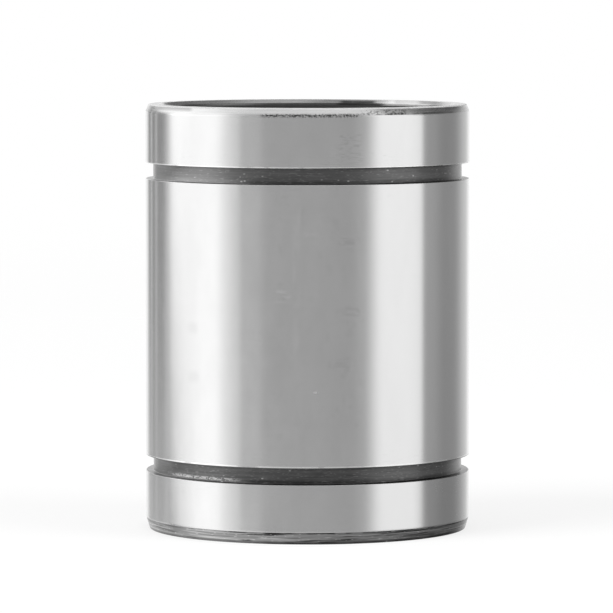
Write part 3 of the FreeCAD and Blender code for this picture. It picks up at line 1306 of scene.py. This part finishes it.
    def dress(self, sleeve: bpy.types.Object) -> None:
        """Shade the sleeve and give each zone its finish.

        Args:
            sleeve: The bare sleeve.
        """
        bright = {"contrast": 0.25, "glint_strength": 0.3, "stretch": 0.6, "line_depth": 0.001 * MM}
        finishes = {
            SleeveZone.GROUND: GroundSteel(
                "ground_steel_finish", grey(0.74), 0.23, (*self.burr(), *self.scuffs())),
            SleeveZone.GROOVED: TurnedSteel(
                "grooved_steel_finish", grey(0.135), 0.44, self.groove_marks(), oil=0.6),
            SleeveZone.LED_IN: TurnedSteel(
                "led_in_steel_finish", grey(0.25), 0.42, self.lead_marks(), contrast=1.1,
                line_grain=grain(14.0, 0.2), fine_grain=grain(2.5, 0.14),
                glint_strength=0.3, oil=0.5),
            SleeveZone.FACED: TurnedSteel(
                "faced_steel_finish", grey(0.66), 0.27, (*self.burr(), *self.rim_marks()), **bright),
            SleeveZone.MOUTH: TurnedSteel(
                "mouth_steel_finish", grey(0.66), 0.27, self.mouth_marks(), **bright),
            SleeveZone.BROKEN_EDGE: TurnedSteel(
                "broken_edge_finish", grey(0.82), 0.62, contrast=0.3, glint_strength=0.2, stretch=0.0,
                metal=0.5),
            SleeveZone.SEATED: TurnedSteel(
                "seated_steel_finish", grey(0.27), 0.34, self.seat_marks(), contrast=0.5,
                glint_strength=0.0, stretch=0.5),
            SleeveZone.BORED: TurnedSteel(
                "bored_steel_finish", grey(0.5), 0.32, contrast=0.3, glint_strength=0.0,
                stretch=0.6, line_depth=0.001 * MM),
        }
        zones = list(finishes)
        for zone in zones:
            sleeve.data.materials.append(finishes[zone].material())
        for face in sleeve.data.polygons:
            face.material_index = zones.index(self.zone(face.center))
        smooth(sleeve)
        present(sleeve, HOUSING, "outer_cylinder")


@dataclass
class EndSeal:
    """Rubber end seal: a rim in the end seat, and a dished web with a lip on the shaft."""

    end: End
    length: float
    seat_radius: float
    lip_radius: float
    recess: float
    rim_depth: float
    rim_width: float = 1.7 * MM
    web: float = 1.0 * MM
    dish: float = 0.5 * MM
    lip_width: float = 0.5 * MM
    face_edge: float = 0.14 * MM
    lip_edge: float = 0.12 * MM
    hidden_edge: float = 0.1 * MM

    @classmethod
    def from_frame(cls, end: End, length: float) -> "EndSeal":
        """Seal of one end, of the sizes that the frame has."""
        low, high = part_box("lower_seal")
        return cls(end, length, high.x, mount("shaft_bore")["dims"]["r_mm"] * MM, low.z, high.z)

    def build(self) -> bpy.types.Object:
        """Turn the seal's section.

        Returns:
            The bare seal.
        """
        rim = self.seat_radius - self.rim_width
        lip_start = self.recess + self.dish
        shape = [
            (self.seat_radius, self.recess, self.face_edge),
            (self.seat_radius, self.rim_depth, self.hidden_edge),
            (rim, self.rim_depth, self.hidden_edge),
            (rim, self.recess + self.web, self.hidden_edge),
            (self.lip_radius, lip_start + self.lip_width, self.lip_edge),
            (self.lip_radius, lip_start, self.lip_edge),
            (rim, self.recess, self.face_edge),
        ]
        corners = corners_inside(self.end, self.length, shape)
        return turned(f"{self.end.value}_rubber_seal", corners, INNER_STEPS)

    def dress(self, seal: bpy.types.Object) -> None:
        """Shade the seal and give it its rubber.

        Args:
            seal: The bare seal.
        """
        rubber = SealRubber("seal_rubber_finish", grey(0.014), 0.55, self.lip_radius)
        seal.data.materials.append(rubber.material())
        smooth(seal)
        present(seal, HOUSING, f"{self.end.value}_seal")


@dataclass
class SnapRing:
    """Flat spring ring with an opening, which holds the retainer in its seat."""

    end: End
    radius: float
    low: float
    high: float
    width: float = 2.6 * MM
    opening: float = 4.0 * MM
    edge: float = 0.07 * MM
    edge_segments: int = 2
    edge_angle: float = math.radians(50)

    @classmethod
    def from_frame(cls, end: End) -> "SnapRing":
        """Snap ring of one end, of the sizes that the frame has."""
        low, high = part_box(f"{end.value}_snap_ring")
        return cls(end, -low.x, low.z, high.z)

    def build(self) -> bpy.types.Object:
        """Turn the ring, cut its opening and break its edges.

        Returns:
            The bare ring.
        """
        inside = self.radius - self.width
        corners = [
            Corner(inside, self.low), Corner(self.radius, self.low),
            Corner(self.radius, self.high), Corner(inside, self.high),
        ]
        ring = turned(f"{self.end.value}_spring_ring", corners, INNER_STEPS)
        bpy.ops.mesh.primitive_cube_add(
            size=self.opening, location=(self.radius - self.width / 2, 0, (self.low + self.high) / 2))
        cutter = new_piece("opening_cutter")
        apply_place(cutter)
        combine(ring, cutter, Joining.CUT)
        apply_modifier(
            ring, "BEVEL", width=self.edge, segments=self.edge_segments, limit_method="ANGLE",
            angle_limit=self.edge_angle)
        return ring

    def dress(self, ring: bpy.types.Object) -> None:
        """Shade the ring and give it its steel.

        Args:
            ring: The bare ring.
        """
        steel = SpringSteel("spring_steel_finish", (0.24, 0.24, 0.25), 0.36)
        ring.data.materials.append(steel.material())
        smooth(ring)
        present(ring, HOUSING, f"{self.end.value}_snap_ring")


@dataclass
class BallPath:
    """Endless path of a circuit's balls: two straight rows joined by two half turns."""

    middle: float
    shaft_radius: float
    ball_diameter: float = 2.778 * MM
    ball_gap: float = 0.08 * MM
    shaft_clearance: float = 0.022 * MM
    row_balls: int = 7
    turn_balls: int = 3

    @classmethod
    def from_frame(cls) -> "BallPath":
        """Path of the sizes that the frame has."""
        bore = mount("shaft_bore")
        return cls(bore["pos_m"][2], bore["dims"]["r_mm"] * MM)

    @property
    def ball_radius(self) -> float:
        """Radius of a ball."""
        return self.ball_diameter / 2

    @property
    def turn_radius(self) -> float:
        """Radius of a half turn, in which neighbouring balls keep their gap."""
        return (self.ball_diameter + self.ball_gap) / (2 * math.sin(math.pi / 2 / self.turn_balls))

    @property
    def pitch(self) -> float:
        """Spacing of the balls along the path."""
        return math.pi * self.turn_radius / self.turn_balls

    @property
    def row_radius(self) -> float:
        """Distance of the path's plane from the bearing's axis."""
        return self.shaft_radius + self.shaft_clearance + self.ball_radius

    @property
    def row_length(self) -> float:
        """Length of a straight row."""
        return self.row_balls * self.pitch

    def row(self, across: float) -> list[Vector]:
        """Places of the balls of a straight row.

        Args:
            across: Distance of the row from the loaded row.

        Returns:
            The places in the first circuit.
        """
        start = self.middle - self.row_length / 2 + self.pitch / 2
        heights = [start + number * self.pitch for number in range(self.row_balls)]
        return [Vector((self.row_radius, across, height)) for height in heights]

    def turn(self, sense: int) -> list[Vector]:
        """Places of the balls of a half turn.

        Args:
            sense: 1 for the upper turn and -1 for the lower one.

        Returns:
            The places in the first circuit.
        """
        places = []
        for number in range(self.turn_balls):
            angle = math.pi * (number + 0.5) / self.turn_balls
            height = self.middle + sense * (self.row_length / 2 + self.turn_radius * math.sin(angle))
            places.append(Vector((self.row_radius, self.turn_radius * (1 - math.cos(angle)), height)))
        return places

    def stretch(self, stretch: Stretch) -> list[Vector]:
        """Places of the balls of one stretch.

        Args:
            stretch: The stretch.

        Returns:
            The places in the first circuit.
        """
        return {
            Stretch.LOADED: self.row(0.0),
            Stretch.RETURN: self.row(2 * self.turn_radius),
            Stretch.UPPER_TURN: self.turn(1),
            Stretch.LOWER_TURN: self.turn(-1),
        }[stretch]


@dataclass
class BallRetainer:
    """Moulded cage: a sleeve with a rib in each relief and an endless ball channel for each circuit."""

    path: BallPath
    low: float
    high: float
    bore_radius: float = 10.25 * MM
    radius: float = 12.72 * MM
    rib_radius: float = 14.1215 * MM
    rib_sides: tuple[float, float] = (0.9 * MM, 8.425 * MM)
    rib_inner_radius: float = 11.5 * MM
    channel_clearance: float = 0.12 * MM
    channel_reach: float = 15.0 * MM
    channel_segments: int = 10
    turn_steps: int = 24
    end_edge: float = 0.25 * MM
    edge: float = 0.06 * MM

    @classmethod
    def from_frame(cls, path: BallPath) -> "BallRetainer":
        """Retainer of the sizes that the frame has."""
        low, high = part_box("ball_retainer")
        return cls(path, low.z, high.z)

    def channel(self) -> bpy.types.Object:
        """Sweep a channel's section along the first circuit's path.

        Returns:
            The closed sweep, to cut with.
        """
        path = self.path
        radius = path.ball_radius + self.channel_clearance
        start = path.middle - path.row_length / 2
        floor = path.row_radius - radius
        corners = [
            Corner(self.channel_reach, -radius), Corner(floor, -radius, radius),
            Corner(floor, radius, radius), Corner(self.channel_reach, radius),
        ]
        cutter = drawn_section("channel_cutter", corners, self.channel_segments)
        with in_edit_mode(cutter):
            bpy.ops.mesh.remove_doubles(threshold=MERGE_DISTANCE)
            bpy.ops.transform.rotate(value=math.pi / 2, orient_axis="X", center_override=(0, 0, 0))
            bpy.ops.transform.translate(value=(0, 0, start))
            for sense in (1, -1):
                rise = (0, 0, sense * path.row_length)
                bpy.ops.mesh.extrude_region_move(TRANSFORM_OT_translate={"value": rise})
                centre = (path.row_radius, path.turn_radius, path.middle + sense * path.row_length / 2)
                bpy.ops.mesh.spin(steps=self.turn_steps, angle=math.pi, center=centre, axis=(1, 0, 0))
            close_up()
        return cutter

    def build(self) -> bpy.types.Object:
        """Turn the cage's sleeve, add its ribs and cut its channels.

        Returns:
            The bare cage.
        """
        corners = [
            Corner(self.bore_radius, self.low, self.end_edge), Corner(self.radius, self.low, self.edge),
            Corner(self.radius, self.high, self.edge), Corner(self.bore_radius, self.high, self.end_edge),
        ]
        cage = turned("moulded_cage", corners, INNER_STEPS)
        rib = FlatSidedBlock(
            self.rib_radius, self.rib_inner_radius, *self.rib_sides,
            self.low + self.edge, self.high - self.edge)
        combine(cage, once_per_circuit(rib.build("relief_rib")), Joining.ADD)
        combine(cage, once_per_circuit(self.channel()), Joining.CUT)
        return cage

    def dress(self, cage: bpy.types.Object) -> None:
        """Shade the cage and give it its plastic.

        Args:
            cage: The bare cage.
        """
        plastic = RetainerPlastic("retainer_plastic_finish", (0.74, 0.72, 0.66), 0.42)
        cage.data.materials.append(plastic.material())
        smooth(cage, even=False)
        present(cage, HOUSING, "ball_retainer")


@dataclass
class BallCircuits:
    """Loose balls of all circuits, each stretch a piece of its own."""

    path: BallPath
    cuts: int = 7

    def ball(self) -> bpy.types.Object:
        """Shape one ball out of a cube.

        Returns:
            The ball, centred on the origin.
        """
        bpy.ops.mesh.primitive_cube_add(size=self.path.ball_diameter)
        ball = new_piece("pattern_ball")
        with in_edit_mode(ball):
            bpy.ops.mesh.subdivide(number_cuts=self.cuts)
            bpy.ops.transform.tosphere(value=1.0)
        factor = self.path.ball_radius / ball.data.vertices[0].co.length
        with in_edit_mode(ball):
            bpy.ops.transform.resize(value=(factor, factor, factor))
        take_up(ball)
        bpy.ops.object.shade_smooth()
        return ball

    def build(self) -> dict[str, bpy.types.Object]:
        """Copy the ball into every stretch of every circuit.

        Returns:
            The bare balls of each body, by the body's name.
        """
        ball = self.ball()
        groups = {}
        for number in range(CIRCUITS):
            angle = 2 * math.pi * number / CIRCUITS
            for stretch in Stretch:
                body = f"circuit_{number + 1}_{stretch.value}"
                balls = [copied(ball, 0.0, place) for place in self.path.stretch(stretch)]
                groups[body] = joined(f"{body}_steel_balls", balls)
                groups[body].rotation_euler.z = angle
                apply_place(groups[body])
        bpy.data.meshes.remove(ball.data)
        return groups

    def dress(self, groups: Mapping[str, bpy.types.Object]) -> None:
        """Give the balls their steel.

        Args:
            groups: The bare balls of each body, by the body's name.
        """
        steel = BallSteel("ball_steel_finish", (0.78, 0.78, 0.79), 0.07)
        for body, balls in groups.items():
            balls.data.materials.append(steel.material())
            present(balls, body, f"{body}_balls")


# Studio

# Degrees beyond every direction, where a panel has no edge
BEYOND = 200.0


@dataclass(frozen=True)
class Panel:
    """Part of the light tent with a level of its own, in degrees right of the camera and degrees up."""

    what: str
    level: float
    start: float = -BEYOND
    end: float = BEYOND
    start_blur: float = 8.0
    end_blur: float = 8.0
    low: float = -BEYOND
    high: float = BEYOND
    height_blur: float = 16.0


@dataclass(frozen=True)
class Lamp:
    """Soft lamp: its place from the middle of the bearing, and its share of the lamps' power."""

    name: str
    place: Numbers
    share: float


@dataclass
class Studio:
    """Pale floor, white background, soft lamps and a light tent that shows only in reflections."""

    centre: Vector
    floor_radius: float = 0.6
    floor_steps: int = 128
    floor_colour: float = 0.3
    fill_level: float = 0.6
    tent_radius: float = 1.6
    tent_steps: int = 96
    tent_level: float = 0.39
    tent_opening: float = 0.95
    lamp_size: float = 0.7
    lamp_power: float = 11.0
    lamps: Sequence[Lamp] = (
        Lamp("left_soft_lamp", (-0.7, -0.5, 0.9), 0.6),
        Lamp("right_soft_lamp", (0.8, -0.4, 0.8), 0.4),
    )
    panels: Sequence[Panel] = (
        Panel("left wall", 0.49, -62.0, -32.5, end_blur=6.0),
        Panel("edge of the left softbox's glow", 0.73, -75.0, -48.8, end_blur=3.0),
        Panel("glow beside the left softbox", 1.02, -80.0, -57.0, end_blur=14.0),
        Panel("left softbox", 1.31, -114.0, -64.5, 25.0, 9.0),
        Panel("dark gap left of it", 0.27, end=-122.0),
        Panel("upper part of its edge", 1.8, -114.0, -95.0, 10.0, 24.0, low=-4.5, height_blur=6.0),
        Panel("lower part of its edge", 0.02, -119.0, -98.0, 6.0, 40.0, high=-4.5, height_blur=6.0),
        Panel("glow beside the right softbox", 0.46, 34.4, 60.0, start_blur=4.0),
        Panel("right softbox", 1.22, 46.8, 90.0, 16.0, 3.0),
        Panel("right wall", 0.49, start=90.0, start_blur=3.0),
        Panel("dim right wall", 0.35, start=106.0, start_blur=18.0),
        Panel("pale right wall", 0.66, start=138.0, start_blur=24.0),
        Panel("left back", 1.0, end=-156.0, end_blur=18.0),
        Panel("dark strip before it", 0.2, -154.0, -122.0, 4.0, 6.0, low=-4.5, height_blur=6.0),
        Panel("first line in the strip", 0.75, -148.5, -144.5, 2.0, 2.0, low=-4.5, height_blur=6.0),
        Panel("second line in the strip", 0.65, -138.2, -134.2, 2.0, 2.0, low=-4.5, height_blur=6.0),
        Panel("right back", 1.05, start=160.0, start_blur=24.0),
        Panel("ground", 0.75, high=-21.0, height_blur=22.0),
        Panel("bright ground on the left", 1.25, end=-36.0, end_blur=50.0, high=-21.0, height_blur=22.0),
        Panel("ground at the left back", 0.9, end=-118.0, end_blur=14.0, high=-9.0),
        Panel("dim ground on the right", 0.42, start=20.0, start_blur=40.0, high=-18.0, height_blur=22.0),
        Panel("dark band above it", 0.12, 90.0, 150.0, 14.0, 20.0, -60.0, -12.0),
        Panel("dark right side", 0.12, start=84.0, start_blur=20.0, low=13.0, height_blur=10.0),
        Panel("dim right side above it", 0.24, start=84.0, start_blur=20.0, low=36.0, height_blur=10.0),
        Panel("right side near the top", 0.34, start=84.0, start_blur=20.0, low=54.0, height_blur=12.0),
        Panel("shade over the right softbox", 0.3, 60.0, 90.0, 12.0, 14.0, low=26.0, height_blur=12.0),
        Panel("front ceiling", 1.06, -90.0, 60.0, 20.0, 12.0, low=34.0, height_blur=12.0),
        Panel("left ceiling", 1.15, -149.0, -80.0, 20.0, 20.0, low=16.0, height_blur=12.0),
        Panel("bright edge of it", 1.45, -138.0, -65.0, 10.0, 20.0, 12.0, 36.0, 10.0),
        Panel("top", 0.5, low=62.0, height_blur=12.0),
        Panel("dim slot beside the top", 0.3, -165.0, -35.0, 20.0, 20.0, 57.0, 88.0, 6.0),
    )

    def floor(self) -> None:
        """Lay a pale round floor that fades into the white background."""
        bpy.ops.mesh.primitive_circle_add(
            vertices=self.floor_steps, radius=self.floor_radius, fill_type="NGON")
        floor = new_piece("floor")
        material, board = new_material("pale_floor")
        distance = board.node("ShaderNodeVectorMath", {"operation": "LENGTH"}, {0: board.place()}, "Value")
        fade = distance.rise(self.floor_radius / 2, self.floor_radius)
        pale = board.node("ShaderNodeBsdfDiffuse", {}, {"Color": grey(self.floor_colour)})
        glow = self.seen(board) * (1.0 - self.floor_colour)
        lift = board.node("ShaderNodeEmission", {}, {"Color": glow, "Strength": 1.0})
        lit = board.node("ShaderNodeAddShader", {}, {0: pale, 1: lift})
        clear = board.node("ShaderNodeBsdfTransparent")
        board.show(board.node("ShaderNodeMixShader", {}, {0: fade, 1: lit, 2: clear}))
        floor.data.materials.append(material)
        floor.visible_glossy = False

    @staticmethod
    def seen(board: ShaderBoard) -> Signal:
        """Tell which rays show the background to the camera, straight, mirrored or through something.

        Args:
            board: The board of the floor or of the world.

        Returns:
            1 for such a ray and 0 for the others.
        """
        path = board.node("ShaderNodeLightPath", output="Is Camera Ray")
        shown = path + path.output("Is Glossy Ray") + path.output("Is Transmission Ray")
        return shown.math("MINIMUM", 1.0)

    def background(self) -> None:
        """Make the world white to look at, and a plain soft light for the rest."""
        world = bpy.data.worlds.new("white_studio")
        world.use_nodes = True
        board = ShaderBoard(world.node_tree)
        strength = self.fill_level + (1.0 - self.fill_level) * self.seen(board)
        light = board.node("ShaderNodeBackground", {}, {"Color": WHITE, "Strength": strength})
        board.show(light, "ShaderNodeOutputWorld")
        bpy.context.scene.world = world

    def tent(self) -> None:
        """Hang a light tent round the bearing, open at the back, with the panels as its levels."""
        bpy.ops.mesh.primitive_uv_sphere_add(
            segments=self.tent_steps, ring_count=self.tent_steps // 2, radius=self.tent_radius)
        tent = new_piece("light_tent")
        with in_edit_mode(tent):
            back = (0, self.tent_radius * self.tent_opening, 0)
            bpy.ops.mesh.bisect(plane_co=back, plane_no=(0, 1, 0), clear_outer=True)
            bpy.ops.mesh.select_all(action="SELECT")
            bpy.ops.transform.translate(value=self.centre)
        material, board = new_material("tent_cloth")
        axes = board.node("ShaderNodeSeparateXYZ", {}, {0: board.place()})
        right, front, up = axes, axes.output("Y") * -1.0, axes.output("Z") - self.centre.z
        degrees = math.degrees(1.0)
        azimuth = right.math("ARCTAN2", front) * degrees
        height = (up / self.tent_radius).math("ARCSINE") * degrees
        level: Link = self.tent_level
        for panel in self.panels:
            share = azimuth.window(panel.start, panel.end, panel.start_blur, panel.end_blur)
            share = share * height.window(panel.low, panel.high, panel.height_blur, panel.height_blur)
            share.socket.node.label = panel.what
            level = level + (panel.level - level) * share
        board.show(board.node("ShaderNodeEmission", {}, {"Color": level, "Strength": 1.0}))
        tent.data.materials.append(material)
        material.cycles.emission_sampling = "NONE"
        tent.visible_camera = False
        tent.visible_diffuse = False
        tent.visible_transmission = False
        tent.visible_volume_scatter = False
        tent.visible_shadow = False

    def hang(self, lamp: Lamp) -> None:
        """Hang a soft lamp that lights the matt pieces and the floor.

        Args:
            lamp: The lamp.
        """
        place = Vector(lamp.place)
        bpy.ops.object.light_add(type="AREA", location=self.centre + place)
        light = bpy.context.object
        light.name = lamp.name
        light.rotation_euler = place.to_track_quat("Z", "Y").to_euler()
        light.data.shape = "DISK"
        light.data.size = self.lamp_size
        light.data.energy = self.lamp_power * lamp.share
        light.visible_camera = False
        light.visible_glossy = False

    def build(self) -> None:
        """Set up the whole studio."""
        self.floor()
        self.background()
        self.tent()
        for lamp in self.lamps:
            self.hang(lamp)
        bpy.context.scene.view_settings.view_transform = "Standard"


@dataclass
class PhotoCamera:
    """Camera of the photograph: a long lens in front of the bearing, a little above it."""

    distance: float = 0.4988
    height: float = 0.05653
    pitch: float = math.radians(3.9715)
    image_px: float = 613.0
    focal_px: float = 5046.3
    axis_px: float = 307.45
    sensor: float = 36.0

    def build(self) -> None:
        """Place the camera and make it the scene's own."""
        place = (0.0, -self.distance, self.height)
        bpy.ops.object.camera_add(location=place, rotation=(math.pi / 2 - self.pitch, 0.0, 0.0))
        camera = bpy.context.object
        camera.name = "photo_camera"
        camera.data.sensor_width = self.sensor
        camera.data.lens = self.sensor * self.focal_px / self.image_px
        camera.data.shift_x = (self.image_px / 2 - self.axis_px) / self.image_px
        bpy.context.scene.camera = camera


def main() -> None:
    """Build every sub-assembly in order, then the studio and the camera."""
    logging.basicConfig(level=logging.INFO, format="%(name)s: %(message)s")

    sleeve = SteelSleeve.from_frame()
    sleeve.dress(sleeve.build())
    for end in End:
        seal = EndSeal.from_frame(end, sleeve.length)
        seal.dress(seal.build())
        ring = SnapRing.from_frame(end)
        ring.dress(ring.build())
    path = BallPath.from_frame()
    cage = BallRetainer.from_frame(path)
    cage.dress(cage.build())
    circuits = BallCircuits(path)
    circuits.dress(circuits.build())

    Studio(Vector((0.0, 0.0, sleeve.length / 2))).build()
    PhotoCamera().build()


if __name__ == "__main__":
    main()
